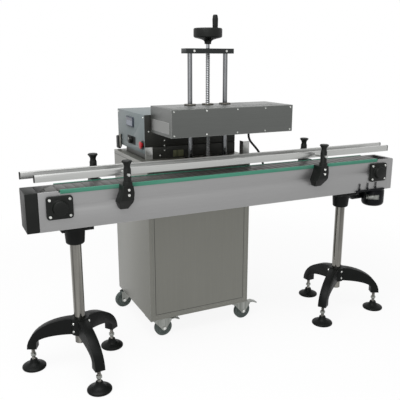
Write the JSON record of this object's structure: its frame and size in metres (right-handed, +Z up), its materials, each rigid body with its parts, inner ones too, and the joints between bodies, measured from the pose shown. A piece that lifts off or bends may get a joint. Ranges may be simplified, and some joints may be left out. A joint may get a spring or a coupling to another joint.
{
  "type": "induction cap sealer",
  "caption": "Induction cap sealer: slat conveyor on tripod stands, guide rails on brackets, and a sealing head that a hand wheel lifts over a cabinet on casters.",
  "frame": {"origin": "on the floor, under the middle of the whole machine as seen from above", "axes": "+X along the conveyor toward its drive end, -Y toward the operator, +Z up"},
  "size_m": [1.9182, 0.8561, 1.5158],
  "materials": {
    "brushed_panel": "brushed",
    "bright_steel": "polished",
    "zinc_steel": "zinc plated",
    "rail_steel": "satin",
    "black_plastic": "moulded",
    "black_paint": "semi gloss",
    "slat_plastic": "worn satin",
    "wear_green": "low friction",
    "tyre_gray": "matte",
    "console_gray": "hammered",
    "red_plastic": "gloss",
    "coil_resin": "laminate",
    "copper": "enamelled winding",
    "bronze": "machined",
    "cable_rubber": "matte"
  },
  "bodies": {
    "frame": {"front_side_panel": "brushed_panel", "rear_side_panel": "brushed_panel", "frame_ties": "brushed_panel", "wear_strips": "wear_green", "slat_chain": "slat_plastic", "infeed_cover": "black_plastic", "outfeed_cover": "brushed_panel", "bearing_units": "black_plastic", "drive_motor": "black_paint", "drive_guard": "black_paint", "rail_brackets": "black_plastic", "stand_heads": "black_plastic", "stand_tubes": "bright_steel", "tripod_bases": "black_plastic", "foot_spindles": "bright_steel", "foot_pads": "black_plastic", "cabinet_shell": "brushed_panel", "cabinet_front_panel": "brushed_panel", "cable_gland": "black_plastic", "caster_plates": "zinc_steel", "console_base": "black_paint", "console_cover": "console_gray", "console_front": "black_paint", "support_posts": "brushed_panel", "panel_meter": "black_plastic", "stop_collar": "black_plastic", "guide_rods": "bright_steel", "rod_bases": "bright_steel", "crossbar": "brushed_panel", "head_cable": "cable_rubber"},
    "head": {"head_shell": "brushed_panel", "head_front_plate": "brushed_panel", "coil_base": "coil_resin", "induction_coil": "copper", "head_bushings": "bronze"},
    "hand_wheel": {"handwheel": "black_plastic", "lead_screw": "bright_steel"},
    "handle": {"crank_handle": "black_plastic"},
    "front_guide": {"front_rail": "rail_steel"},
    "rear_guide": {"rear_rail": "rail_steel"},
    "drive": {"drive_shaft": "bright_steel", "drive_sprocket": "black_plastic"},
    "idler": {"idler_shaft": "bright_steel", "idler_sprocket": "black_plastic"},
    "power_dial": {"power_knob": "black_plastic"},
    "stop_cap": {"stop_button": "red_plastic"},
    "clamp_front_left": {"knob_front_left": "black_plastic"},
    "swivel_front_left": {"fork_front_left": "zinc_steel"},
    "caster_front_left": {"wheel_front_left": "tyre_gray"},
    "clamp_front_right": {"knob_front_right": "black_plastic"},
    "swivel_front_right": {"fork_front_right": "zinc_steel"},
    "caster_front_right": {"wheel_front_right": "tyre_gray"},
    "clamp_rear_left": {"knob_rear_left": "black_plastic"},
    "swivel_rear_left": {"fork_rear_left": "zinc_steel"},
    "caster_rear_left": {"wheel_rear_left": "tyre_gray"},
    "clamp_rear_right": {"knob_rear_right": "black_plastic"},
    "swivel_rear_right": {"fork_rear_right": "zinc_steel"},
    "caster_rear_right": {"wheel_rear_right": "tyre_gray"},
    "brake_front_left": {"pedal_front_left": "zinc_steel"},
    "brake_front_right": {"pedal_front_right": "zinc_steel"}
  },
  "joints": [
    {"name": "head_lift", "type": "slide", "parent": "frame", "child": "head", "axis": [0, 0, 1], "range_m": [-0.055, 0.2], "deforming": ["head_cable"]},
    {"name": "handwheel_turn", "type": "hinge", "parent": "frame", "child": "hand_wheel", "pos_m": [-0.04043, -0.0499, 1.3715], "axis": [0, 0, 1], "range_deg": [-2497.92, 9022.92]},
    {"name": "handle_spin", "type": "hinge", "parent": "hand_wheel", "child": "handle", "pos_m": [-0.02093, -0.08368, 1.4315], "axis": [0, 0, 1], "continuous": true},
    {"name": "front_rail_slide", "type": "slide", "parent": "frame", "child": "front_guide", "axis": [0, 1, 0], "range_m": [-0.008, 0.015]},
    {"name": "rear_rail_slide", "type": "slide", "parent": "frame", "child": "rear_guide", "axis": [0, -1, 0], "range_m": [-0.008, 0.015]},
    {"name": "clamp_knob_front_left", "type": "hinge", "parent": "frame", "child": "clamp_front_left", "pos_m": [-0.51493, -0.2759, 0.9075], "axis": [0, 0, 1], "continuous": true},
    {"name": "clamp_knob_front_right", "type": "hinge", "parent": "frame", "child": "clamp_front_right", "pos_m": [0.46707, -0.2759, 0.9075], "axis": [0, 0, 1], "continuous": true},
    {"name": "clamp_knob_rear_left", "type": "hinge", "parent": "frame", "child": "clamp_rear_left", "pos_m": [-0.59393, -0.0539, 0.9075], "axis": [0, 0, 1], "continuous": true},
    {"name": "clamp_knob_rear_right", "type": "hinge", "parent": "frame", "child": "clamp_rear_right", "pos_m": [0.51207, -0.0539, 0.9075], "axis": [0, 0, 1], "continuous": true},
    {"name": "drive_spin", "type": "hinge", "parent": "frame", "child": "drive", "pos_m": [0.85422, -0.1649, 0.75635], "axis": [0, 1, 0], "continuous": true},
    {"name": "idler_spin", "type": "hinge", "parent": "frame", "child": "idler", "pos_m": [-0.78408, -0.1649, 0.75635], "axis": [0, 1, 0], "continuous": true},
    {"name": "swivel_front_left", "type": "hinge", "parent": "frame", "child": "swivel_front_left", "pos_m": [-0.31543, -0.0429, 0.1007], "axis": [0, 0, 1], "continuous": true},
    {"name": "wheel_front_left", "type": "hinge", "parent": "swivel_front_left", "child": "caster_front_left", "pos_m": [-0.27943, -0.0429, 0.044], "axis": [0, 1, 0], "continuous": true},
    {"name": "swivel_front_right", "type": "hinge", "parent": "frame", "child": "swivel_front_right", "pos_m": [0.13057, -0.0429, 0.1007], "axis": [0, 0, 1], "continuous": true},
    {"name": "wheel_front_right", "type": "hinge", "parent": "swivel_front_right", "child": "caster_front_right", "pos_m": [0.16657, -0.0429, 0.044], "axis": [0, 1, 0], "continuous": true},
    {"name": "swivel_rear_left", "type": "hinge", "parent": "frame", "child": "swivel_rear_left", "pos_m": [-0.31543, 0.3591, 0.1007], "axis": [0, 0, 1], "continuous": true},
    {"name": "wheel_rear_left", "type": "hinge", "parent": "swivel_rear_left", "child": "caster_rear_left", "pos_m": [-0.35143, 0.3591, 0.044], "axis": [0, 1, 0], "continuous": true},
    {"name": "swivel_rear_right", "type": "hinge", "parent": "frame", "child": "swivel_rear_right", "pos_m": [0.13057, 0.3591, 0.1007], "axis": [0, 0, 1], "continuous": true},
    {"name": "wheel_rear_right", "type": "hinge", "parent": "swivel_rear_right", "child": "caster_rear_right", "pos_m": [0.09457, 0.3591, 0.044], "axis": [0, 1, 0], "continuous": true},
    {"name": "brake_front_left", "type": "hinge", "parent": "swivel_front_left", "child": "brake_front_left", "pos_m": [-0.24543, -0.0429, 0.0837], "axis": [0, 1, 0], "range_deg": [0, 8]},
    {"name": "brake_front_right", "type": "hinge", "parent": "swivel_front_right", "child": "brake_front_right", "pos_m": [0.20057, -0.0429, 0.0837], "axis": [0, 1, 0], "range_deg": [0, 8]},
    {"name": "power_turn", "type": "hinge", "parent": "frame", "child": "power_dial", "pos_m": [-0.32393, 0.2201, 0.939], "axis": [-1, 0, 0], "range_deg": [0, 270]},
    {"name": "stop_press", "type": "slide", "parent": "frame", "child": "stop_cap", "axis": [1, 0, 0], "range_m": [0, 0.0048], "stiffness_N_per_m": 800}
  ],
  "couplings": [
    {"joint": "handwheel_turn", "follows": "head_lift", "rad_per_m": 785.4},
    {"joint": "idler_spin", "follows": "drive_spin", "ratio": 1}
  ]
}
